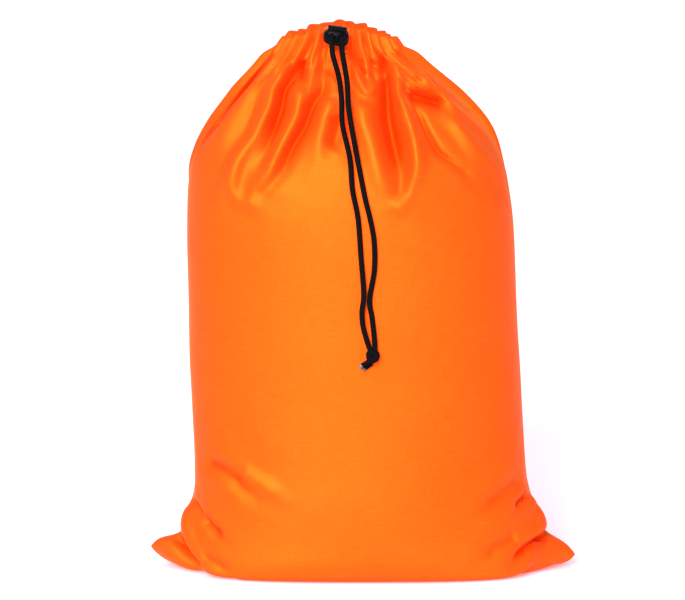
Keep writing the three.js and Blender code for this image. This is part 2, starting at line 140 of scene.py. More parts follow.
def through(points, t):
    """A smooth curve through points, which are reached at t = 0, 1, 2 ..."""
    points = np.asarray(points, float)
    last = len(points) - 1
    padded = np.concatenate([2 * points[:1] - points[1:2], points, 2 * points[-1:] - points[-2:-1]])
    t = np.clip(t, 0, last - 1e-9)
    i = np.floor(t).astype(int)
    f = (t - i).reshape(np.shape(t) + (1,) * (points.ndim - 1))
    a, b, c, d = (padded[i + k] for k in range(4))
    return 0.5 * (2 * b + (c - a) * f + (2 * a - 5 * b + 4 * c - d) * f**2 + (3 * b - a - 3 * c + d) * f**3)


def along(points):
    """Length from the start to each point of a line."""
    steps = np.linalg.norm(np.diff(points, axis=0), axis=1)
    return np.concatenate([[0], np.cumsum(steps)])


def even_route(points, step):
    """Points a step apart on the smooth curve through the given ones."""
    fine = through(points, np.linspace(0, len(points) - 1, 60 * len(points)))
    far = along(fine)
    at = np.linspace(0, far[-1], max(2, int(round(far[-1] / step)) + 1))
    return np.stack([np.interp(at, far, fine[:, k]) for k in range(3)], -1)


def frames_along(route):
    """Side and up directions that don't twist along a route."""
    tangent = np.gradient(route, axis=0)
    tangent /= np.linalg.norm(tangent, axis=1, keepdims=True)
    side = np.empty_like(route)
    start = np.cross(tangent[0], (0.3, 0.2, 1.0))
    side[0] = start / np.linalg.norm(start)
    for i in range(1, len(route)):
        step = side[i - 1] - tangent[i] * np.dot(side[i - 1], tangent[i])
        side[i] = step / np.linalg.norm(step)
    return side, np.cross(tangent, side)


def tube(line, radius, sides, axes=None):
    """Points and faces of a closed tube along a line; its radius may differ along it and round it."""
    side, up = axes or frames_along(line)
    turn = np.linspace(0, 2 * math.pi, sides, endpoint=False)
    ring = side[:, None] * np.cos(turn)[None, :, None] + up[:, None] * np.sin(turn)[None, :, None]
    radius = np.broadcast_to(radius, (len(line), sides))
    points = (line[:, None] + ring * radius[..., None]).reshape(-1, 3)
    faces = [tuple(f) for f in grid_faces(len(line), sides, wrap=True)]
    faces += [tuple(range(sides))[::-1], tuple(range(len(points) - sides, len(points)))]
    return points, faces


def merged(meshes):
    """The points and faces of several meshes as one."""
    points, faces, base = [], [], 0
    for more_points, more_faces in meshes:
        points.append(more_points)
        faces += [tuple(k + base for k in face) for face in more_faces]
        base += len(more_points)
    return np.concatenate(points), faces


def stand_in(piece, cad_node, body="sack"):
    """Let a piece stand for a CAD node and ride on its body."""
    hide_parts(cad_node)
    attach(piece, body)


def rounded(t, power):
    """A sine or cosine of a circle turned into that of a rounded square."""
    return np.sign(t) * np.abs(t) ** (2 / power)


def smoothstep(x, low, high):
    t = np.clip((x - low) / (high - low), 0, 1)
    return t * t * (3 - 2 * t)


# ---- materials ----


def plain_material(name, colour, roughness, glow):
    material = bpy.data.materials.new(name)
    material.use_nodes = True
    shader = material.node_tree.nodes["Principled BSDF"]
    shader.inputs["Base Color"].default_value = (*colour, 1)
    shader.inputs["Roughness"].default_value = roughness
    shader.inputs["Emission Color"].default_value = (*colour, 1)
    shader.inputs["Emission Strength"].default_value = glow
    return material


class Look:
    """A Principled material with a few node helpers."""

    def __init__(self, name, roughness, **sockets):
        self.material = bpy.data.materials.new(name)
        self.material.use_nodes = True
        self.tree = self.material.node_tree
        self.shader = self.tree.nodes["Principled BSDF"]
        self.shader.inputs["Roughness"].default_value = roughness
        for socket, value in sockets.items():
            self.shader.inputs[socket.replace("_", " ")].default_value = value

    def node(self, kind, **inputs):
        made = self.tree.nodes.new(kind)
        for socket, value in inputs.items():
            self.feed(made.inputs[socket.replace("_", " ")], value)
        return made

    def feed(self, socket, value):
        if isinstance(value, bpy.types.NodeSocket):
            self.tree.links.new(value, socket)
        else:
            socket.default_value = value

    def math(self, operation, a, b=0.0):
        made = self.tree.nodes.new("ShaderNodeMath")
        made.operation = operation
        self.feed(made.inputs[0], a)
        self.feed(made.inputs[1], b)
        return made.outputs[0]

    def noise(self, vector, scale, detail=2.0):
        made = self.node("ShaderNodeTexNoise", Vector=vector, Scale=scale, Detail=detail)
        return made.outputs["Fac"]

    def stretched(self, vector, scale):
        made = self.node("ShaderNodeMapping", Vector=vector)
        made.inputs["Scale"].default_value = scale
        return made.outputs[0]

    def ramp(self, factor, stops):
        made = self.tree.nodes.new("ShaderNodeValToRGB")
        elements = made.color_ramp.elements
        while len(elements) < len(stops):
            elements.new(0.5)
        for element, (place, colour) in zip(elements, stops):
            element.position = place
            element.color = (*colour, 1)
        self.feed(made.inputs[0], factor)
        return made.outputs[0]

    def coordinates(self, kind):
        return self.node("ShaderNodeTexCoord").outputs[kind]

    def colour(self, value):
        self.feed(self.shader.inputs["Base Color"], value)

    def speckle(self, scale, shades):
        """Colour that varies over the object; gives the coordinates back."""
        place = self.coordinates("Object")
        self.colour(self.ramp(self.noise(place, scale), shades))
        return place

    def bump(self, height, distance, strength=1.0):
        made = self.node("ShaderNodeBump", Height=height, Strength=strength, Distance=distance)
        self.feed(self.shader.inputs["Normal"], made.outputs[0])


THREAD_PITCH = 0.55 * MM
CLOTH_SHADES = [(0.3, (0.92, 0.079, 0.0045)), (0.5, (0.95, 0.099, 0.006)), (0.7, (0.97, 0.121, 0.009))]
# Painted shade: a deeper red that the cloth's colour turns to in folds, creases and inside the channel.
PAINTED_FOLD_SHADE = (0.95, 0.045, 0.001, 1)
THREAD_SHADES = [(0.3, (0.75, 0.09, 0.004)), (0.7, (0.98, 0.2, 0.012))]
CORD_SHADES = [(0.3, (0.0005, 0.0005, 0.0007)), (0.75, (0.004, 0.004, 0.005))]
PLASTIC_SHADES = [(0.3, (0.0006, 0.0006, 0.0012)), (0.7, (0.0013, 0.0013, 0.0022))]
SEALED_SHADES = [(0.35, (0.02, 0.02, 0.022)), (0.65, (0.16, 0.16, 0.17))]
STEEL_SHADES = [(0.3, (0.45, 0.45, 0.46)), (0.7, (0.65, 0.65, 0.67))]


def cloth_material():
    look = Look(
        "orange_cloth", 0.5, Metallic=0.44, Specular_IOR_Level=0.25, Specular_Tint=(1.0, 0.4, 0.08, 1),
        Sheen_Weight=0.2, Sheen_Roughness=0.3, Sheen_Tint=(1.0, 0.5, 0.1, 1),
    )
    uv = look.coordinates("UV")
    split = look.node("ShaderNodeSeparateXYZ", Vector=uv)
    turns = 2 * math.pi / THREAD_PITCH
    warp = look.math("SINE", look.math("MULTIPLY", split.outputs[0], turns))
    weft = look.math("SINE", look.math("MULTIPLY", split.outputs[1], turns))
    weave = look.math("MULTIPLY", warp, weft)
    slubs = look.noise(look.stretched(uv, (70, 900, 1)), 1.0, 3.0)
    uprights = look.noise(look.stretched(uv, (900, 60, 1)), 1.0, 2.0)
    mottle = look.noise(uv, 9.0, 3.0)
    thread = look.math("ADD", look.math("MULTIPLY", slubs, 0.65), look.math("MULTIPLY", uprights, 0.35))
    tone = look.math("ADD", look.math("MULTIPLY", thread, 0.75), look.math("MULTIPLY", mottle, 0.25))
    lit = look.ramp(tone, CLOTH_SHADES)
    # Painted shade: a per-point attribute, large in folds, creases and inside the channel, mixes the cloth's
    # colour towards a deeper red.
    painted_shade = look.node("ShaderNodeAttribute")
    painted_shade.attribute_name = "painted_shade"
    mix = look.tree.nodes.new("ShaderNodeMix")
    mix.data_type = "RGBA"
    look.feed(mix.inputs["Factor"], painted_shade.outputs["Fac"])
    look.feed(mix.inputs["A"], lit)
    look.feed(mix.inputs["B"], PAINTED_FOLD_SHADE)
    look.colour(mix.outputs["Result"])
    height = look.math("ADD", look.math("MULTIPLY", weave, 0.3), thread)
    look.bump(height, 0.12 * MM, 0.55)
    return look.material


def thread_material():
    look = Look("orange_thread", 0.55, Sheen_Weight=0.2)
    place = look.speckle(2500.0, THREAD_SHADES)
    look.bump(look.noise(place, 6000.0), 0.05 * MM)
    return look.material


def cord_material():
    look = Look("black_cord", 0.75, Specular_IOR_Level=0.06)
    uv = look.coordinates("UV")
    fibres = look.noise(look.stretched(uv, (9000, 1800, 1)), 1.0, 3.0)
    look.colour(look.ramp(fibres, CORD_SHADES))
    look.bump(fibres, 0.06 * MM, 0.7)
    return look.material


def plastic_material():
    look = Look("black_plastic", 0.3, Specular_IOR_Level=0.1)
    place = look.speckle(60.0, PLASTIC_SHADES)
    uneven_gloss = look.math("MULTIPLY", look.noise(place, 900.0), 0.12)
    look.feed(look.shader.inputs["Roughness"], look.math("ADD", uneven_gloss, 0.22))
    look.bump(look.noise(place, 700.0), 0.01 * MM, 0.5)
    return look.material


def sealed_material():
    look = Look("sealed_cord", 0.3, Coat_Weight=0.3)
    place = look.speckle(500.0, SEALED_SHADES)
    look.bump(look.noise(place, 900.0), 0.2 * MM)
    return look.material


def steel_material():
    look = Look("spring_steel", 0.3, Metallic=1.0)
    look.speckle(3000.0, STEEL_SHADES)
    return look.material


ORANGE_CLOTH = cloth_material()
ORANGE_THREAD = thread_material()
BLACK_CORD = cord_material()
BLACK_PLASTIC = plastic_material()
SEALED_CORD = sealed_material()
SPRING_STEEL = steel_material()

make_camera()
make_studio()

# ---- cord lock frame ----

joints = {joint["name"]: joint for joint in frame["record"]["behaviour"]["joints"]}
LOCK_CENTRE = Vector((-0.0245, -0.0545, 0.496))
LOCK_OUT = Vector(joints["lock_slide"]["axis"]).normalized()
LOCK_UP = -Vector(joints["button_press"]["axis"]).normalized()
LOCK_ACROSS = LOCK_UP.cross(LOCK_OUT)
SLIDE_TRAVEL = joints["lock_slide"]["range_m"][1]
LOCK_SIZE = np.array((23.4, 14.4, 14.4)) * MM
LOCK_ROUNDNESS = 3.0
HOLE_PITCH = 9.1 * MM
HOLE_DIAMETER = 6.2 * MM
HOLE_HEIGHT = 1.2 * MM
CORD_RISE = 0.2 * MM
BUTTON_SIZE = (17.2 * MM, 6.6 * MM)
BUTTON_LOW = -2.7 * MM
BUTTON_HIGH = 10.6 * MM


def lock_matrix():
    axes = Matrix((LOCK_ACROSS, -LOCK_OUT, LOCK_UP)).transposed()
    return Matrix.Translation(LOCK_CENTRE) @ axes.to_4x4()


def in_lock(x, y, z):
    return np.array(lock_matrix() @ Vector((x, y, z)))


# ---- cords ----

CORD_DIAMETER = 5 * MM
STRANDS = 8
STRAND_PITCH = 4.2 * MM
STRAND_DEPTH = 0.36 * MM
KNOT_CENTRE = np.array((8.4, -106.8, 212)) * MM

LEFT_HANG = [
    (-28.3, -83.8, 489.5), (-27.4, -87.4, 481), (-22, -88.5, 461), (-19.6, -91.5, 441), (-18.8, -94.5, 419),
    (-12.4, -99.5, 390), (-10, -102, 362), (-4.9, -103, 335), (-2.2, -104, 300), (0.2, -107.6, 268),
    (-1.4, -108.4, 252), (-0.6, -108.2, 240), (2.2, -107.8, 229), (4.6, -107.6, 221.6),
]
RIGHT_HANG = [
    (-19.4, -83.8, 489), (-18.7, -87.4, 481), (-14.8, -89.4, 458), (-13, -93, 432), (-7.6, -98.5, 400),
    (0.7, -102.3, 357), (5.5, -103, 337), (9.4, -103.3, 316), (9.8, -103.5, 290), (5.6, -102.7, 263),
    (7.6, -102.6, 247), (9.3, -103.6, 233), (10.2, -105.6, 221.6),
]


def braid_height(turn, far):
    """How far a braided cord's surface stands above its groove, from 0 to 1."""
    a = STRANDS * turn / (2 * math.pi) + far / STRAND_PITCH
    b = STRANDS * turn / (2 * math.pi) - far / STRAND_PITCH
    first_on_top = (np.floor(a) + np.floor(b)) % 2 < 1
    crown = lambda t: np.sqrt(np.clip(1 - (2 * (t % 1) - 1) ** 2, 0, 1))
    top = np.where(first_on_top, crown(a), crown(b))
    ends = np.where(first_on_top, crown(b), crown(a))
    return top * (0.55 + 0.45 * ends)


def braided_tube(name, route, diameter=CORD_DIAMETER, sides=36):
    far = along(route)
    turn = np.linspace(0, 2 * math.pi, sides, endpoint=False)
    radius = diameter / 2 - STRAND_DEPTH * (1 - braid_height(turn[None], far[:, None]))
    uv = np.stack(np.broadcast_arrays(turn[None] * diameter / 2, far[:, None]), -1).reshape(-1, 2)
    return mesh_object(name, *tube(route, radius, sides), BLACK_CORD, uv)


STUB_PAST_LOCK = 3 * MM
STRAIGHT_IN_LOCK = (12 * MM, 5 * MM, -5 * MM, -16 * MM)
# Where each free end leaves the ring and bends to its buttonhole: (aside of the lock, y, z), in mm.
RING_EXIT, HOLE_BEND = (14, -28.6, 498.6), (7.1, -33.6, 499.6)
INTO_KNOT = np.array((1.4, 0, 2.5)) * MM
ROUTE_STEP = 0.45 * MM


def make_tail(name, side, hang, cad_node):
    x, z = side * HOLE_PITCH / 2, HOLE_HEIGHT + CORD_RISE
    stub = LOCK_SIZE[1] / 2 + SLIDE_TRAVEL + STUB_PAST_LOCK
    straight = [in_lock(x, y, z) for y in (*STRAIGHT_IN_LOCK, -stub)]
    start, bend = (
        np.array((LOCK_CENTRE.x + side * aside * MM, y * MM, z * MM))
        for aside, y, z in (RING_EXIT, HOLE_BEND)
    )
    knotted = KNOT_CENTRE + INTO_KNOT * (side, 1, 1)
    route = even_route([start, bend, *straight, *(np.array(hang) * MM), knotted], ROUTE_STEP)
    cord = braided_tube(name, route)
    stand_in(cord, cad_node)
    return cord, route


tail_left, left_route = make_tail("cord_tail_left_braid", -1, LEFT_HANG, "cord_tail_left")
tail_right, right_route = make_tail("cord_tail_right_braid", 1, RIGHT_HANG, "cord_tail_right")

# ---- knot and sealed tips ----

KNOT_LOOPS = 1.5 * MM
KNOT_STRAND = 4.3 * MM
TIP_DIAMETER = 4.4 * MM
TIP_SIDES = 28
TIP_IN_KNOT, TIP_MELTED = 3 * MM, 2.6 * MM


def joined(name, parts):
    """One mesh from several objects, which are used up."""
    first = parts[0]
    with bpy.context.temp_override(
        active_object=first, object=first, selected_objects=parts, selected_editable_objects=parts,
    ):
        bpy.ops.object.join()
    first.name = first.data.name = name
    return first


def make_knot():
    t = np.linspace(0, 2 * math.pi, 140)
    reach = 2 + np.cos(3 * t)
    loops = []
    for number, (turn, size) in enumerate(((0.4, 1.0), (1.5, 0.93))):
        x, y, z = reach * np.cos(2 * t + turn), np.sin(3 * t) * 1.25, reach * np.sin(2 * t + turn) * 1.05
        line = KNOT_CENTRE + KNOT_LOOPS * size * np.stack([x, y, z], -1)
        loops.append(braided_tube(f"knot_loop_{number}", line, KNOT_STRAND, TIP_SIDES))
    return joined("cord_knot_wraps", loops)


def make_tip(name, start, end, cad_node):
    """The cut end below the knot: braided, then melted to a rounded bead."""
    start, end = np.array(start) * MM, np.array(end) * MM
    out = (end - start) / np.linalg.norm(end - start)
    start = start - TIP_IN_KNOT * out
    melt = end - TIP_MELTED * out
    braid = even_route([start, (start + melt) / 2, melt], 0.4 * MM)
    neck = braided_tube(name + "_braid", braid, TIP_DIAMETER, TIP_SIDES)
    line = even_route([melt - 0.5 * MM * out, (melt + end) / 2, end], 0.16 * MM)
    far = (along(line) / along(line)[-1])[:, None]
    turn = np.linspace(0, 2 * math.pi, TIP_SIDES, endpoint=False)[None]
    lumps = 1 + 0.07 * np.sin(3 * turn + 5 * far) + 0.04 * np.sin(5 * turn - 9 * far)
    rounding = np.sqrt(np.clip(1 - np.clip((far - 0.55) / 0.45, 0, 1) ** 2, 0.002, 1))
    melted = tube(line, 0.47 * TIP_DIAMETER * lumps * rounding, TIP_SIDES)
    bead = mesh_object(name + "_melt", *melted, SEALED_CORD)
    stand_in(neck, cad_node)
    stand_in(bead, cad_node)
    return [neck, bead]


knot = make_knot()
stand_in(knot, "cord_knot")
tips = make_tip("cord_tip_left", (3.4, -108.2, 206.6), (-3.6, -108.2, 202), "cord_tip_left")
tips += make_tip("cord_tip_right", (5.4, -102.7, 203.4), (-1.2, -102.7, 199), "cord_tip_right")

# ---- the cloth, in mm until it becomes a mesh ----

# Down the middle of the front: [distance from the sack's middle plane, height].
MIDDLE_LINE = np.array([
    [0, 0], [34, 0.4], [64, 2.2], [88, 7.5], [97, 60], [98.5, 200], [98, 340], [88, 398], [67, 448],
    [50, 479], [35.5, 504.5],
])
# Down the side seam at the same rows: [distance from the middle line, height].
SEAM_LINE = np.array([
    [196.4, 18], [189, 26], [171, 34], [166, 52], [154.5, 88], [153, 215], [151, 338], [140, 389], [105, 438],
    [67, 474], [51.5, 493],
])
SQUARENESS, BASE_SQUARENESS = 2.2, 3.0
# How far the sack leans to the left at each height: [height, lean].
LEAN_LINE = np.array([
    [0, 2], [40, 1], [120, -3.5], [200, -7.5], [300, -11.3], [400, -13], [420, -13.2], [442, -16.5],
    [465, -22], [478, -24], [492, -23], [507, -20.5],
])
LEAN_SMOOTHING = 8
BACK_RIM_RISE = 5
COLUMNS = 256
LOWER_STEP, BODY_STEP, NECK_STEP = 5.0, 7.0, 3.8
CREST_ROW = len(MIDDLE_LINE) - 1
HEM_DEPTH = 27
CLOTH_THICKNESS = 0.7

fine_lean_height = np.linspace(0, 520, 261)
fine_lean = np.interp(fine_lean_height, *LEAN_LINE.T)
fine_lean = np.pad(fine_lean, LEAN_SMOOTHING, "edge")
fine_lean = np.convolve(fine_lean, np.ones(2 * LEAN_SMOOTHING + 1) / (2 * LEAN_SMOOTHING + 1), "valid")


def lean(z):
    return np.interp(z, fine_lean_height, fine_lean)


def loft(row, turn):
    middle, seam = through(MIDDLE_LINE, row), through(SEAM_LINE, row)
    c, s = np.cos(turn), np.sin(turn)
    square = BASE_SQUARENESS + (SQUARENESS - BASE_SQUARENESS) * smoothstep(row, 2.5, 5)
    across, forward = rounded(c, square), rounded(s, square)
    mouth = smoothstep(row, 8, 10)
    power = 11 - 9 * smoothstep(row, 3, 8) - 0.4 * mouth
    flat = 0.3 * (1 - mouth)
    rise = np.clip((np.abs(across) - flat) / (1 - flat), 0, None) ** power
    z = np.maximum(0, middle[..., 1] * (1 - rise) + seam[..., 1] * rise)
    x = lean(z) + seam[..., 0] * across
    z = z + BACK_RIM_RISE * np.clip(-forward, 0, 1) * mouth
    return np.stack([x, -middle[..., 0] * forward, z], -1)


fine_turn = np.linspace(0, 2 * math.pi, 4001)
fine_arc = along(loft(np.full_like(fine_turn, 5.0), fine_turn)[:, :2])
ROUND = fine_arc[-1]
fine_row = np.linspace(0, CREST_ROW, 4001)
middle_curve = through(MIDDLE_LINE, fine_row)
seam_curve = through(SEAM_LINE, fine_row)
fine_rise = along(middle_curve)
TALL = fine_rise[-1]
STITCH_LINE = TALL - HEM_DEPTH


def row_heights():
    heights = [0.0]
    while heights[-1] < TALL:
        at = heights[-1]
        heights.append(at + (LOWER_STEP if at < 150 else BODY_STEP if at < TALL - 230 else NECK_STEP))
    return np.array(heights) * TALL / heights[-1]


PLEATS = 26
PLEAT_DEPTH = 8.0
PLEAT_LEVEL = 0.68


def uneven(count, spread, seed):
    widths = 1 + spread * (np.random.default_rng(seed).random(count) * 2 - 1)
    return np.concatenate([[0], np.cumsum(widths / widths.sum())])


# Where each pleat starts in the cloth and sits in the gathered ring, how high it is and how far it reaches.
pleat_cloth = uneven(PLEATS, 0.35, 3) * ROUND
pleat_ring = 0.5 * pleat_cloth / ROUND + 0.5 * uneven(PLEATS, 0.45, 5)
pleat_height = 1 + 0.25 * (np.random.default_rng(11).random(PLEATS) * 2 - 1)
pleat_reach = 46 + 60 * np.random.default_rng(17).random(PLEATS)


def pleat_wave(s, h):
    """Each pleat's swell, which dies out its own way down the sack: 0 in a valley, about 1 on a ridge."""
    place = np.interp(s, pleat_cloth, np.arange(PLEATS + 1.0))
    at_pleat = lambda values: np.interp(place % PLEATS, np.arange(PLEATS) + 0.5, values, period=PLEATS)
    wave = at_pleat(pleat_height) * (0.5 - 0.5 * np.cos(2 * math.pi * place)) ** 0.9 - PLEAT_LEVEL
    return wave * smoothstep(h - TALL, -at_pleat(pleat_reach), -24)


# Folds of the front: (depth, half width, points [x, z] along it); a ridge has positive depth.
NECK_FOLDS = [
    (-15, 4.2, [(-83, 484), (-96, 468), (-105, 457), (-121, 437), (-135, 417), (-146, 399)]),
    (-5, 7, [(-82, 465), (-86, 458), (-96, 445), (-100, 426), (-105, 412), (-114, 397), (-125, 382)]),
    (-11, 7, [(-55, 478), (-64, 460), (-71, 449), (-74, 433), (-78, 417), (-84, 400), (-91, 383)]),
    (-6, 3.5, [(-53, 476), (-54, 464), (-55, 452)]),
    (-10, 7, [
        (-32, 481), (-36, 457), (-45, 436), (-51, 421), (-59, 406), (-68, 390), (-75, 376), (-91, 359),
    ]),
    (-7, 8, [(-20, 427), (-25, 406), (-30, 395)]),
    (-14, 8.5, [(15, 480), (21, 465), (22, 446), (22, 423), (26, 400), (30, 380), (32, 361)]),
    (-4, 3, [(-2, 476), (-1, 461)]),
    (-5, 3, [(6, 476), (8, 463), (13, 452)]),
    (-8, 5, [(32, 484), (42, 473), (50, 465)]),
    (-12, 6, [(41, 446), (52, 441), (67, 437), (74, 435)]),
    (-6, 4, [(36, 456), (40, 442), (50, 423), (59, 406), (68, 393), (81, 384), (93, 377)]),
    (5, 10, [(-66, 487), (-91, 458), (-113, 439), (-126, 412), (-135, 393), (-139, 373)]),
    (6, 7, [
        (-63, 470), (-81, 452), (-85, 433), (-100, 409), (-113, 386), (-119, 364), (-113, 351), (-102, 347),
    ]),
    (6, 7, [(-59, 454), (-58, 438), (-62, 421), (-73, 397), (-82, 380), (-93, 363), (-102, 351)]),
    (5, 7, [(-31, 465), (-41, 452), (-49, 445), (-57, 449)]),
    (5, 10, [(-30, 442), (-33, 425), (-36, 410), (-46, 374)]),
    (4, 4, [(-8, 473), (-5, 459), (3, 448), (10, 456), (12, 467)]),
    (3.5, 3, [(2, 488), (2, 473), (3, 463)]),
    (5, 10, [(2, 439), (2, 419), (9, 396), (16, 367), (24, 349)]),
    (8.5, 7, [
        (24, 482), (28, 465), (31, 449), (38, 430), (44, 413), (47, 396), (47, 378), (41, 361), (33, 345),
    ]),
    (6, 8, [(40, 479), (57, 463), (71, 453), (79, 438), (88, 418), (102, 394), (109, 382), (106, 372)]),
    (5, 8, [(49, 458), (65, 450)]),
]
CORNER_FOLDS = [
    (-7, 7, [(-145, 107), (-121, 96), (-98, 81)]),
    (4, 7, [(-111, 100), (-90, 91), (-69, 79)]),
    (-5, 3, [(-157, 69), (-152, 62), (-147, 53)]),
    (-8, 5, [(-147, 53), (-138, 44), (-127, 37)]),
    (-5, 5, [(-150, 20), (-135, 14), (-119, 4)]),
    (-11, 4.5, [(-173, 33), (-166, 22), (-157, 12), (-149, 4)]),
    (3, 6, [(-159, 62), (-165, 50), (-163, 38), (-154, 23), (-146, 8)]),
    (-5, 8, [(147, 89), (125, 75), (102, 58)]),
    (-7, 3.5, [(153, 74), (146, 68), (141, 61)]),
    (-5, 7, [(144, 38), (124, 30), (107, 20)]),
    (-12, 5, [(173, 34), (156, 27), (136, 13)]),
    (4, 7, [(157, 72), (164, 57), (168, 43), (154, 38)]),
]


def fold_field(x, z, folds):
    """How far folds drawn on the front lift the cloth at each point."""
    lift = np.zeros_like(x)
    for depth, half_width, points in folds:
        line = through(points, np.linspace(0, len(points) - 1, 12 * len(points)))
        near = np.full(x.shape, np.inf)
        share = np.zeros_like(x)
        for number, (a, b) in enumerate(zip(line[:-1], line[1:])):
            step = b - a
            t = np.clip(((x - a[0]) * step[0] + (z - a[1]) * step[1]) / (step @ step), 0, 1)
            gap = (x - a[0] - t * step[0]) ** 2 + (z - a[1] - t * step[1]) ** 2
            closer = gap < near
            near = np.where(closer, gap, near)
            share = np.where(closer, (number + t) / (len(line) - 1), share)
        fade = smoothstep(share, -0.05, 0.12) * (1 - 0.75 * smoothstep(share, 0.6, 1.0))
        lift += depth * fade * np.exp(-near / half_width**2)
    return lift


BACK_FOLDS = 13


def back_fold_field(s, h):
    """Folds that fan down from the mouth on the back and round the sides."""
    rng = np.random.default_rng(21)
    lift = np.zeros_like(s)
    for number in range(BACK_FOLDS):
        start = ROUND * (0.5 + 0.5 * (number + 0.5 + 0.5 * (rng.random() - 0.5)) / BACK_FOLDS)
        slope = (rng.random() - 0.5) * 0.35
        depth = (-1) ** number * (5 + 5 * rng.random())
        half_width = 9 + 7 * rng.random()
        low = TALL - 110 - 90 * rng.random()
        aside = s - start - slope * (TALL - h)
        lift += depth * smoothstep(h, low - 30, low + 40) * np.exp(-((aside / half_width) ** 2))
    return lift


PUCKERS = 64


def pucker_field(s, h):
    """Short sharp creases that the gathering leaves above and below the channel's stitches."""
    rng = np.random.default_rng(5)
    lift = np.zeros_like(s)
    for number in range(PUCKERS):
        start = ROUND * (number + 0.7 * rng.random()) / PUCKERS
        slope = (rng.random() - 0.5) * 0.5
        depth = 1.0 + 2.0 * rng.random()
        half_width = 2.6 + 1.6 * rng.random()
        middle = STITCH_LINE - 16 * rng.random() + 2
        long = 9 + 14 * rng.random()
        aside = (s - start - slope * (middle - h) + ROUND / 2) % ROUND - ROUND / 2
        lift -= depth * np.exp(-(((h - middle) / long) ** 2) - (aside / half_width) ** 2)
    return lift * (1 - smoothstep(h, STITCH_LINE + 1, STITCH_LINE + 10))


def outward(grid):
    """Unit normals of a ring grid."""
    n = np.cross(np.gradient(grid, axis=0), np.roll(grid, -1, 1) - np.roll(grid, 1, 1))
    return n / np.maximum(np.linalg.norm(n, axis=-1, keepdims=True), 1e-9)


def softened(grid, times):
    """A ring grid whose points are averaged with their neighbours, a number of times."""
    for _ in range(times):
        edge = np.concatenate([grid[:1], grid, grid[-1:]])
        grid = 0.2 * (grid + np.roll(grid, 1, 1) + np.roll(grid, -1, 1) + edge[:-2] + edge[2:])
    return grid


def even_turns(rows, share):
    """Turns that share each row's front and back evenly, for a share of the way round."""
    turns = np.empty((len(rows), len(share)))
    half = np.linspace(0, math.pi, 1201)
    for number, row in enumerate(rows):
        for first, part in ((0, share <= 0.5), (math.pi, share > 0.5)):
            far = along(loft(np.full_like(half, row), half + first))
            turns[number, part] = first + np.interp((share[part] * 2) % 1.0000001, far / far[-1], half)
    return turns


FOLD_GAIN = 1.45
# Depths in mm of a drawn fold where its painted shade begins and where it is full.
CREASE_SHADE_DEPTH = (3.5, 14)
CREST_BUMP = 1.3

heights = row_heights()
around = np.arange(COLUMNS) / COLUMNS * ROUND
S, H = np.meshgrid(around, heights)
row_grid = np.interp(H, fine_rise, fine_row)
ring_share = smoothstep(H, TALL - 130, TALL - 20)
turn_grid = (1 - ring_share) * even_turns(row_grid[:, 0], around / ROUND)
turn_grid += ring_share * 2 * math.pi * np.interp(S, pleat_cloth, pleat_ring)
smooth_shape = loft(row_grid, turn_grid)
x_grid, z_grid = smooth_shape[..., 0], smooth_shape[..., 2]
forward_share = -smooth_shape[..., 1] / np.maximum(through(MIDDLE_LINE, row_grid)[..., 0], 1)
neck_lift = FOLD_GAIN * fold_field(x_grid, z_grid, NECK_FOLDS) * smoothstep(forward_share, 0, 0.25)
short_of_crest = 1 - 0.8 * smoothstep(H, TALL - 34, TALL - 12)
neck_lift *= short_of_crest
lift = fold_field(x_grid, z_grid, CORNER_FOLDS) * smoothstep(forward_share, 0, 0.2)
# A mask for painted shade where the drawn folds sink the cloth.
crease_shade_mask = smoothstep(-lift - neck_lift, *CREASE_SHADE_DEPTH)
lift += back_fold_field(S, H) * short_of_crest + pucker_field(S, H)
normal_grid = outward(smooth_shape)
fold_way = normal_grid * (0.1, 1, 0.2) - (0, 0.5, 0)
fold_way /= np.linalg.norm(fold_way, axis=-1, keepdims=True) + 1e-9
level = normal_grid * (1, 1, 0)
level /= np.linalg.norm(level, axis=-1, keepdims=True) + 1e-9
pleats = pleat_wave(S, H) * (1 - 0.3 * smoothstep(H, TALL - 12, TALL))
start_shape = smooth_shape + normal_grid * lift[..., None] + fold_way * neck_lift[..., None]
start_shape += level * (PLEAT_DEPTH * pleats)[..., None]
start_shape[..., 2] += CREST_BUMP * pleats * smoothstep(H, TALL - 14, TALL)

# ---- settling the cloth over what fills it ----

STEPS, SWEEPS = 22, 8
SAG = 0.01
DAMPING = 0.9
SHEAR_STIFFNESS = 0.35
BEND_STIFFNESS = 0.25
CORNER_SLACK = 0.012
PINNED_ROW = int(np.searchsorted(heights, TALL - 9))
MOST_MOVED, EAR_MOVED, BASE_MOVED = 3.0, 1.5, 0.4
SETTLED_SOFTENING = 9
BODY_PRESSURE, LEAST_PRESSURE = 0.004, 0.002


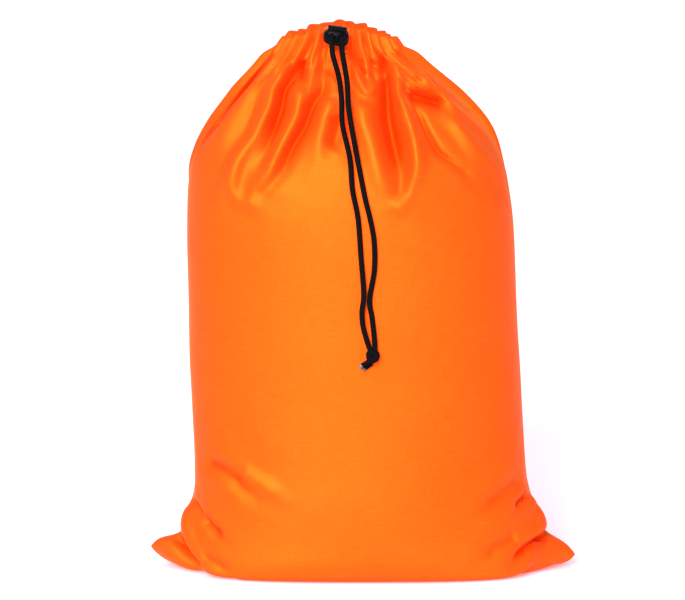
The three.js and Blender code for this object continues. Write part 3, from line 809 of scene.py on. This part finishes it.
class Cloth:
    """A ring grid of threads that keep their length, pulled onto the stuffing and the floor."""

    def __init__(self, shape):
        self.at = shape.copy()
        self.before = shape.copy()
        self.shape = shape.copy()
        self.pinned = shape[PINNED_ROW:].copy()
        ears = smoothstep(np.abs(shape[..., 0]), 145, 170) * smoothstep(100 - shape[..., 2], 0, 40)
        self.reach = MOST_MOVED + (EAR_MOVED - MOST_MOVED) * ears
        self.reach = BASE_MOVED + (self.reach - BASE_MOVED) * smoothstep(shape[..., 2], 4, 40)
        lengths = np.linalg.norm(np.roll(shape, -1, 1) - shape, axis=-1)
        gathered = smoothstep(H, TALL - 200, TALL - 130)
        self.weft = (1 - gathered) * ROUND / COLUMNS + gathered * lengths
        up = np.linalg.norm(np.diff(shape, axis=0), axis=-1)
        low = np.exp(-(((H[:-1] - 70) / 70) ** 2))
        to_seam = np.abs((S[:-1] + ROUND / 4) % (ROUND / 2) - ROUND / 4)
        self.warp = up * (1.008 + CORNER_SLACK * low * np.exp(-((to_seam / 90) ** 2)))

    def pull(self, grid, first, second, rest, stiffness, push_only=False):
        a, b = grid[first], grid[second]
        gap = b - a
        length = np.maximum(np.sqrt((gap * gap).sum(-1)), 1e-6)
        share = (length - rest) / length * 0.5 * stiffness
        if push_only:
            share = np.where(length < rest, share, 0)
        gap *= share[..., None]
        grid[first] = a + gap
        grid[second] = b - gap

    def along_weft(self, gap, rest, stiffness, push_only=False):
        every = slice(None)
        for shift in range(2 * gap):
            turned = np.roll(self.at, -shift, 1)
            far = np.roll(rest, -shift, 1)
            first = slice(0, COLUMNS, 2 * gap)
            second = slice(gap, COLUMNS, 2 * gap)
            self.pull(turned, (every, first), (every, second), far[:, first], stiffness, push_only)
            self.at[:] = np.roll(turned, shift, 1)

    def sweep(self, bend):
        self.along_weft(1, self.weft, 1.0)
        for colour in (0, 1):
            rows = np.arange(colour, len(heights) - 1, 2)
            self.pull(self.at, rows, rows + 1, self.warp[rows], 1.0)
        diagonal = np.sqrt(self.weft[:-1] ** 2 + self.warp**2)
        for aside in (1, -1):
            for colour in (0, 1):
                rows = np.arange(colour, len(heights) - 1, 2)
                pair = np.stack([self.at[rows], np.roll(self.at[rows + 1], -aside, 1)])
                self.pull(pair, 0, 1, diagonal[rows], SHEAR_STIFFNESS)
                self.at[rows] = pair[0]
                self.at[rows + 1] = np.roll(pair[1], aside, 1)
        if bend:
            over_two = (self.weft + np.roll(self.weft, -1, 1)) * 0.985
            self.along_weft(2, over_two, BEND_STIFFNESS, push_only=True)
            for colour in range(4):
                rows = np.arange(colour, len(heights) - 2, 4)
                rest = (self.warp[rows] + self.warp[rows + 1]) * 0.985
                self.pull(self.at, rows, rows + 2, rest, BEND_STIFFNESS, push_only=True)
        self.close_seams()

    def close_seams(self):
        bottom = self.at[0]
        self.at[0] = 0.5 * (bottom + bottom[(-np.arange(COLUMNS)) % COLUMNS])
        self.at[0, :, 1] = 0
        self.at[:, (0, COLUMNS // 2), 1] *= 0.2
        self.at[PINNED_ROW:] = self.pinned

    def rest_on_stuffing(self):
        x, y, z = (self.at[..., k] for k in range(3))
        middle, seam = fine_row > 2, fine_row > 3.2
        deep = np.interp(z, middle_curve[middle, 1], middle_curve[middle, 0])
        wide = np.interp(z, seam_curve[seam, 1], seam_curve[seam, 0])
        wide = np.minimum(wide, np.interp(z, [0, 15, 40, 90], [146, 154, 158, 156]))
        slack = 1.5 + 12 * smoothstep(z, 330, 430)
        wide, deep = wide - slack, np.maximum(deep - slack, 5)
        inside = (np.abs(x - lean(z)) / wide) ** 2.25 + (np.abs(y) / deep) ** 2.25
        grow = np.where((inside < 1) & (z > 3) & (z < 478), np.maximum(inside, 0.3) ** (-1 / 2.25), 1.0)
        self.at[..., 0] = lean(z) + (x - lean(z)) * grow
        self.at[..., 1] = y * grow
        self.at[..., 2] = np.maximum(z, 0.5)
        moved = self.at - self.shape
        far = np.maximum(np.linalg.norm(moved, axis=-1), 1e-6)
        self.at = self.shape + moved * np.minimum(1, self.reach / far)[..., None]

    def settle(self):
        for _ in range(STEPS):
            moving = (self.at - self.before) * DAMPING
            self.before = self.at.copy()
            push = BODY_PRESSURE * (1 - smoothstep(self.at[..., 2], 395, 470)) + LEAST_PRESSURE
            self.at = self.at + moving + outward(self.at) * push[..., None]
            self.at[..., 2] -= SAG
            for number in range(SWEEPS):
                self.sweep(number % 2 == 0)
            self.rest_on_stuffing()
            self.at[PINNED_ROW:] = self.pinned
        return self.shape + softened(self.at - self.shape, SETTLED_SOFTENING)


settled = Cloth(start_shape).settle()

# ---- finishing the cloth ----

FINE_COLUMNS = 2 * COLUMNS
HOLE_CLOTH = (5.4, 4.2)
HOLE_CENTRES = [(LOCK_CENTRE.x / MM + side * 6.4, 499.4) for side in (-1, 1)]
CORD_CLEARANCE = 0.5
FLOOR_CLEARANCE = 0.4


def refine(grid, rows, columns):
    """The smooth surface through a ring grid, sampled at fractional rows and columns."""
    ring = np.concatenate([grid[:, -3:], grid, grid[:, :3]], axis=1)
    across = np.moveaxis(through(np.moveaxis(ring, 1, 0), columns + 3), 0, 1)
    return through(across, rows)


# The cords press the cloth where they hang in front of and below these, and this far aside.
HANG_FRONT, HANG_TOP, CORD_SPREAD = -78, 492, 14
# The cloth stays behind this depth at the lock, and may come forward aside of it and below its foot.
LOCK_REST, LOCK_HALF, LOCK_FOOT, LOCK_SPREAD = -46.2, 13, 484, 22


def behind_cords(grid):
    """Press the cloth back where the cords and the lock lie on it."""
    radius = CORD_DIAMETER / MM / 2
    for route in (left_route / MM, right_route / MM):
        hanging = route[(route[:, 1] < HANG_FRONT) & (route[:, 2] < HANG_TOP)][::6]
        for a in hanging:
            aside = np.hypot(grid[..., 0] - a[0], grid[..., 2] - a[2])
            limit = a[1] + radius + CORD_CLEARANCE - 0.06 * np.clip(aside - radius, 0, None) ** 2
            low = (aside < CORD_SPREAD) & (grid[..., 1] < 0)
            grid[..., 1] = np.where(low, np.maximum(grid[..., 1], limit), grid[..., 1])
    x, y, z = (grid[..., k] for k in range(3))
    aside = np.clip(np.abs(x - LOCK_CENTRE.x / MM) - LOCK_HALF, 0, None)
    limit = LOCK_REST - 0.9 * aside - 0.55 * np.clip(LOCK_FOOT - z, 0, None)
    near = (y < 0) & (z > 450) & (aside < LOCK_SPREAD)
    grid[..., 1] = np.where(near, np.maximum(y, limit), y)
    return grid


EAR_OUT, EAR_LIFT, EAR_DROOP, EAR_CURL, EAR_CURL_BACK = 3.0, 1.5, 4.5, 7.0, 2.5


def ear_tips(grid):
    """One bottom corner lifts, and the other one droops and curls."""
    x, z = grid[..., 0], grid[..., 2]
    low = smoothstep(60 - z, 0, 30)
    left, right = smoothstep(-x, 168, 198) * low, smoothstep(x, 172, 199) * low
    grid[..., 0] -= EAR_OUT * left
    grid[..., 2] += EAR_LIFT * left - EAR_DROOP * right
    grid[..., 1] -= EAR_CURL * right**2 - EAR_CURL_BACK * left**2
    return grid


fine_rows = np.linspace(0, len(heights) - 1, 2 * len(heights) - 1)
fine_columns = np.arange(FINE_COLUMNS) / 2
wall = ear_tips(behind_cords(refine(settled, fine_rows, fine_columns)))
wall[..., 2] = np.maximum(wall[..., 2], FLOOR_CLEARANCE)
wall_heights = np.interp(fine_rows, np.arange(len(heights)), heights)
stitch_row = int(np.searchsorted(wall_heights, STITCH_LINE))

# Painted shade in the cloth's colour: set by how far a point sinks below its softened neighbours, by the
# drawn creases and by the slot; the inner layer gets a fixed share.
PAINTED_SHADE_SOFTENING = 25
PAINTED_SHADE_DEPTH = (0.3, 4.2)
PAINTED_SHADE_MOST, PAINTED_SHADE_INSIDE = 0.9, 0.6


def fold_shade_mask(grid):
    """How much painted shade each point gets, from 0 to 1: more the deeper it lies in a fold, a drawn crease
    or the slot.
    """
    depth = ((softened(grid, PAINTED_SHADE_SOFTENING) - grid) * outward(grid)).sum(-1)
    drawn = refine(crease_shade_mask[..., None], fine_rows, fine_columns)[..., 0]
    slot = -2 * FOLD_GAIN * fold_field(grid[..., 0], grid[..., 2], NECK_FOLDS[:1])
    slot[:, FINE_COLUMNS // 2:] = 0
    drawn = np.maximum(drawn, smoothstep(slot, *CREASE_SHADE_DEPTH))
    return PAINTED_SHADE_MOST * np.maximum(smoothstep(depth, *PAINTED_SHADE_DEPTH), np.clip(drawn, 0, 1))


INNER_ROWS = 14
# How far the inner layer stands off the pleats' valleys, and how much more behind the lock.
POCKET, POCKET_BY_LOCK, POCKET_BY_LOCK_SPREAD = 6.6, 4.0, 22
# How far it stands off the cloth itself near the crest and the stitches, and how closely it follows pleats.
POCKET_AT_ENDS, LEAST_GAP, PLEATS_FOLLOWED = 8.6, 0.9, 0.4
RING_DOWN, RING_IN, RING_CLEAR_OF_LOCK = 13, 3.4, 24


def evened(values, count=25):
    """Values round the mouth, each averaged with its neighbours."""
    return np.convolve(np.tile(values, 3), np.ones(count) / count, "same")[len(values):2 * len(values)]


def valley_reach(reach):
    """How far the middle is from the valleys of the pleats, a smooth line round the mouth."""
    return evened(np.array([np.roll(reach, k) for k in range(-10, 11)]).min(axis=0))


def turned_in(wall):
    """The channel's inner layer: over the crest, down inside the cord and out to the stitches."""
    crest = len(wall) - 1
    layers = []
    middle = np.stack([lean(wall[crest, :, 2]), np.zeros(wall.shape[1])], -1)
    for number in range(1, INNER_ROWS + 1):
        down = number / INNER_ROWS
        row = crest - down * (crest - stitch_row)
        i = int(min(row, crest - 1))
        outer = wall[i] + (wall[i + 1] - wall[i]) * (row - i)
        inward = middle - outer[:, :2]
        reach = np.linalg.norm(inward, axis=1, keepdims=True)
        opened = math.sin(math.pi * min(0.5, 0.08 + 1.2 * down)) if down < 0.7 else (1 - down) / 0.3
        aside = (outer[:, :1] - LOCK_CENTRE.x / MM) / POCKET_BY_LOCK_SPREAD
        pocket = POCKET + POCKET_BY_LOCK * np.exp(-(aside**2)) * (outer[:, 1:2] < 0)
        valleys = valley_reach(reach[:, 0])[:, None]
        target = valleys - pocket * opened - PLEATS_FOLLOWED * np.clip(reach - valleys, 0, None)
        even = smoothstep(down, 0.0, 0.3) * (1 - smoothstep(down, 0.75, 1.0))
        goal = (1 - even) * (reach - max(POCKET_AT_ENDS * opened, LEAST_GAP)) + even * target
        layer = outer.copy()
        layer[:, :2] += inward / reach * (reach - goal)
        layer[:, 2] -= 0.4 * min(1, 4 * down) * (1 - down)
        layers.append(layer)
    return np.array(layers)


def cut_holes(points, faces, on_wall):
    """Leave the cord's holes out of the wall's faces, and draw their rims to smooth ovals."""
    keep = np.ones(len(faces), bool)
    centres = points[faces].mean(axis=1)
    for x, z in HOLE_CENTRES:
        inside = ((centres[:, 0] - x) / HOLE_CLOTH[0]) ** 2 + ((centres[:, 2] - z) / HOLE_CLOTH[1]) ** 2 < 1
        keep &= ~(inside & on_wall)
    rim = np.intersect1d(faces[keep], faces[~keep])
    for x, z in HOLE_CENTRES:
        away = (points[rim][:, (0, 2)] - (x, z)) / HOLE_CLOTH
        size = np.linalg.norm(away, axis=1)
        near = size < 2
        points[rim[near], 0] = x + away[near, 0] / size[near] * HOLE_CLOTH[0]
        points[rim[near], 2] = z + away[near, 1] / size[near] * HOLE_CLOTH[1]
    return faces[keep]


def make_panel(name, first, last, cad_node, holes=False):
    """The wall from seam to seam, with its channel's inner layer."""
    columns = np.arange(first, last + 1) % FINE_COLUMNS
    grid = np.concatenate([wall, turned_in(wall)])[:, columns]
    rows, across = grid.shape[:2]
    u = np.arange(across) / FINE_COLUMNS * ROUND
    inner = TALL + (np.arange(INNER_ROWS) + 1) * HEM_DEPTH / INNER_ROWS
    uv = np.stack(np.broadcast_arrays(u[None], np.concatenate([wall_heights, inner])[:, None]), -1)
    faces = grid_faces(rows, across)
    points = grid.reshape(-1, 3)
    if holes:
        faces = cut_holes(points, faces, faces[:, 0] < (len(wall) - 1) * across)
    panel = mesh_object(name, points * MM, faces, ORANGE_CLOTH, uv.reshape(-1, 2) * MM)
    # Painted shade per point for the cloth material: a fixed share on the inner layer, the folds' share on
    # the wall.
    painted_shade = np.full((rows, across), PAINTED_SHADE_INSIDE)
    painted_shade[:len(wall)] = fold_shade_mask(wall)[:, columns]
    layer = panel.data.attributes.new("painted_shade", "FLOAT", "POINT")
    layer.data.foreach_set("value", painted_shade.ravel().astype(np.float32))
    thick = panel.modifiers.new("cloth", "SOLIDIFY")
    thick.thickness = CLOTH_THICKNESS * MM
    thick.offset = -1
    stand_in(panel, cad_node)
    return panel


half = FINE_COLUMNS // 2
front = make_panel("front_panel_cloth", 0, half, "front_panel", holes=True)
back = make_panel("back_panel_cloth", half, FINE_COLUMNS, "back_panel")

# ---- stitching ----

THREAD, SEAM_THREAD = 0.55, 0.45
STITCH, STITCH_GAP = 2.6, 0.55
STITCH_LIFT, SIDE_LIFT, BOTTOM_LIFT = 0.1, -0.15, 0.3
SATIN_STITCHES, SATIN_RADIUS, SATIN_STEP = 46, 0.33, 0.35
# One satin stitch over the edge of a hole: (out from the edge, along y), from behind the cloth to behind it.
SATIN_LINE = ((-0.35, 0.5), (-0.3, -0.35), (0.3, -0.62), (1.1, -0.62), (1.8, -0.35), (1.9, 0.5))


def stitches(name, line, normals, cad_node, lift=STITCH_LIFT, thread=THREAD):
    """Short sewn threads, end to end along a line of points on the cloth."""
    far = along(line)
    at = lambda values, d: np.stack([np.interp(d, far, values[:, k]) for k in range(3)], -1)
    bow = np.linspace(0, 1, 7)
    arch = lift + 0.25 * np.sin(math.pi * bow) - 0.2
    radius = 0.5 * thread * (0.45 + 0.55 * np.sin(math.pi * np.clip(bow, 0.06, 0.94)) ** 0.5)
    threads = []
    for number in range(int(far[-1] // (STITCH + STITCH_GAP))):
        d = (number + 0.1) * (STITCH + STITCH_GAP) + bow * STITCH
        centre, out = at(line, d), at(normals, d)
        out /= np.linalg.norm(out, axis=1, keepdims=True)
        centre = centre + out * arch[:, None]
        ahead = np.gradient(centre, axis=0)
        ahead /= np.linalg.norm(ahead, axis=1, keepdims=True)
        threads.append(tube(centre, radius[:, None], 8, (np.cross(out, ahead), out)))
    sew(name, threads, cad_node)


def sew(name, threads, cad_node):
    points, faces = merged(threads)
    stand_in(mesh_object(name, points * MM, faces, ORANGE_THREAD), cad_node)


def buttonhole(name, centre, cad_node):
    """Satin stitches side by side round one of the cord's holes."""
    sheet = wall[-40:, :half].reshape(-1, 3)
    threads = []
    for angle in np.linspace(0, 2 * math.pi, SATIN_STITCHES, endpoint=False):
        spoke = np.array([math.cos(angle), math.sin(angle)])
        out = spoke / HOLE_CLOTH
        out /= np.linalg.norm(out)
        edge = centre + spoke * HOLE_CLOTH
        line = []
        for far, rise in SATIN_LINE:
            spot = edge + out * far
            gap = np.hypot(sheet[:, 0] - spot[0], sheet[:, 2] - spot[1])
            close = np.argsort(gap)[:4]
            weight = 1 / (gap[close] + 0.3)
            depth = (sheet[close, 1] * weight).sum() / weight.sum()
            line.append([spot[0], depth + rise, spot[1]])
        threads.append(tube(even_route(line, SATIN_STEP), SATIN_RADIUS, 7))
    sew(name, threads, cad_node)


wall_normals = outward(wall)
for panel, columns in (("front", slice(2, half - 1)), ("back", slice(half + 2, FINE_COLUMNS - 1))):
    line, normals = wall[stitch_row + 1, columns], wall_normals[stitch_row + 1, columns]
    stitches(f"channel_stitches_{panel}", line, normals, f"channel_stitching_{panel}")
for side, column in (("right", 0), ("left", half)):
    line, normals = wall[2:-3, column], wall_normals[2:-3, column]
    stitches(f"side_seam_stitches_{side}", line, normals, f"side_seam_thread_{side}", SIDE_LIFT, SEAM_THREAD)
bottom = wall[0, 1:half - 1]
upwards = np.tile((0.0, 0.0, 1.0), (len(bottom), 1))
stitches("bottom_seam_stitches", bottom, upwards, "bottom_seam_thread", BOTTOM_LIFT, SEAM_THREAD)
for side, centre in zip(("left", "right"), HOLE_CENTRES):
    buttonhole(f"buttonhole_stitches_{side}", centre, f"buttonhole_stitching_{side}")

# ---- the cord inside the channel ----


def channel_line():
    """The drawcord inside the channel, round the back from one side of the lock to the other."""
    outer = wall[int(np.searchsorted(wall_heights, TALL - RING_DOWN))]
    inward = np.stack([lean(outer[:, 2]), np.zeros(len(outer))], -1) - outer[:, :2]
    reach = np.linalg.norm(inward, axis=1)
    line = outer.copy()
    line[:, :2] += inward / reach[:, None] * (reach - valley_reach(reach) + RING_IN)[:, None]
    line = np.stack([evened(line[:, k]) for k in range(3)], -1)
    aside = line[:, 0] - LOCK_CENTRE.x / MM
    front_half = np.arange(len(line)) < half
    before = np.flatnonzero(front_half & (aside < -RING_CLEAR_OF_LOCK))[0]
    after = np.flatnonzero(front_half & (aside > RING_CLEAR_OF_LOCK))[-1]
    return np.concatenate([line[before:], line[:after + 1]])[::8]


def make_ring():
    line = channel_line() * MM
    line = np.concatenate([left_route[:1], line, right_route[:1]])
    ring = braided_tube("drawcord_ring_braid", even_route(line, 0.6 * MM), CORD_DIAMETER, 24)
    stand_in(ring, "drawcord_in_channel")


make_ring()

# ---- cord lock ----

VOXEL = 0.22 * MM
BUTTON_POWER = 4
BUTTON_HOLE_DIAMETER = 5.5 * MM
POCKET_FLOOR, BUTTON_CLEARANCE = -5.8 * MM, 0.35 * MM
CUT_PAST = 12 * MM
SPRING_TURNS, SPRING_WIRE = 3, 0.5 * MM
SPRING_WIDE, SPRING_NARROW = 2.8 * MM, 1.3 * MM
SPRING_LOW, SPRING_HIGH = -5.5 * MM, BUTTON_LOW - 0.3 * MM


def superellipsoid(half, power, steps=(48, 96)):
    """A rounded box as a closed mesh, around its own centre."""
    v = np.linspace(-math.pi / 2, math.pi / 2, steps[0] + 1)[1:-1]
    u = np.linspace(0, 2 * math.pi, steps[1], endpoint=False)
    ring = rounded(np.cos(v), power)[:, None]
    x = half[0] * ring * rounded(np.cos(u), power)[None]
    y = half[1] * ring * rounded(np.sin(u), power)[None]
    z = half[2] * rounded(np.sin(v), power)[:, None] * np.ones_like(u)[None]
    points = np.stack([x, y, z], -1).reshape(-1, 3)
    points = np.concatenate([points, [[0, 0, -half[2]], [0, 0, half[2]]]])
    faces = [tuple(f) for f in grid_faces(len(v), len(u), wrap=True)]
    low, high = len(points) - 2, len(points) - 1
    top = (len(v) - 1) * len(u)
    for k in range(len(u)):
        j = (k + 1) % len(u)
        faces += [(low, j, k), (high, top + k, top + j)]
    return points, faces


def prism(outline, low, high):
    """A straight solid from an outline of x, y points."""
    n = len(outline)
    points = [(x, y, z) for z in (low, high) for x, y in outline]
    faces = [(k, (k + 1) % n, n + (k + 1) % n, n + k) for k in range(n)]
    return points, faces + [tuple(range(n))[::-1], tuple(range(n, 2 * n))]


def oval(width, depth, power, count=64):
    turn = np.linspace(0, 2 * math.pi, count, endpoint=False)
    x, y = width / 2 * rounded(np.cos(turn), power), depth / 2 * rounded(np.sin(turn), power)
    return list(zip(x, y))


def cutter(points, faces):
    return mesh_object("cutter", points, faces, BLACK_PLASTIC, smooth=False)


def cut_and_soften(body, cutters, smoothing):
    """Take the cutters out of a body, then remesh it finely and soften its edges."""
    for tool in cutters:
        step = body.modifiers.new("cut", "BOOLEAN")
        step.operation = "DIFFERENCE"
        step.object = tool
        step.solver = "EXACT"
    remesh = body.modifiers.new("remesh", "REMESH")
    remesh.mode = "VOXEL"
    remesh.voxel_size = VOXEL
    remesh.use_smooth_shade = True
    smooth = body.modifiers.new("smooth", "SMOOTH")
    smooth.factor = 0.5
    smooth.iterations = smoothing
    bpy.context.view_layer.update()
    graph = bpy.context.evaluated_depsgraph_get()
    mesh = bpy.data.meshes.new_from_object(body.evaluated_get(graph))
    body.modifiers.clear()
    body.data = mesh
    for tool in cutters:
        bpy.data.objects.remove(tool)
    return body


def through_hole(x, z, diameter, long, tall=None):
    """A hole along the lock's y, round or a tall slot."""
    turn = np.linspace(0, 2 * math.pi, 40, endpoint=False)
    rise = 0 if tall is None else tall / 2
    outline = [
        (x + diameter / 2 * math.cos(t), z + diameter / 2 * math.sin(t) + math.copysign(rise, math.sin(t)))
        for t in turn
    ]
    points = [(px, y, pz) for y in (-long, long) for px, pz in outline]
    n = len(outline)
    faces = [(k, n + k, n + (k + 1) % n, (k + 1) % n) for k in range(n)]
    return cutter(points, faces + [tuple(range(n)), tuple(range(n, 2 * n))[::-1]])


def place(piece):
    piece.data.transform(lock_matrix())
    piece.data.update()
    return piece


def make_lock_body():
    body = mesh_object("cord_lock_shell", *superellipsoid(LOCK_SIZE / 2, LOCK_ROUNDNESS), BLACK_PLASTIC)
    wide, deep = (size + 2 * BUTTON_CLEARANCE for size in BUTTON_SIZE)
    pocket = cutter(*prism(oval(wide, deep, BUTTON_POWER), POCKET_FLOOR, CUT_PAST))
    holes = [through_hole(side * HOLE_PITCH / 2, HOLE_HEIGHT, HOLE_DIAMETER, CUT_PAST) for side in (-1, 1)]
    return cut_and_soften(body, [pocket, *holes], 3)


def make_button():
    outline = oval(*BUTTON_SIZE, BUTTON_POWER)
    button = mesh_object("cord_lock_push_button", *prism(outline, BUTTON_LOW, BUTTON_HIGH), BLACK_PLASTIC)
    tall = joints["button_press"]["range_m"][1]
    height = HOLE_HEIGHT + CORD_RISE + tall / 2
    holes = [
        through_hole(side * HOLE_PITCH / 2, height, BUTTON_HOLE_DIAMETER, CUT_PAST, tall) for side in (-1, 1)
    ]
    return cut_and_soften(button, holes, 4)


def make_spring():
    t = np.linspace(0, 1, 160)
    turn = 2 * math.pi * SPRING_TURNS * t
    radius = SPRING_WIDE + (SPRING_NARROW - SPRING_WIDE) * t
    height = SPRING_LOW + (SPRING_HIGH - SPRING_LOW) * t
    line = np.stack([radius * np.cos(turn), radius * np.sin(turn), height], -1)
    return mesh_object("cord_lock_coil", *tube(line, SPRING_WIRE / 2, 12), SPRING_STEEL)


shell = place(make_lock_body())
push_button = place(make_button())
coil = place(make_spring())
stand_in(shell, "cord_lock_body", "lock")
stand_in(push_button, "cord_lock_button", "button")
stand_in(coil, "cord_lock_spring", "lock")
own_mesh(coil)
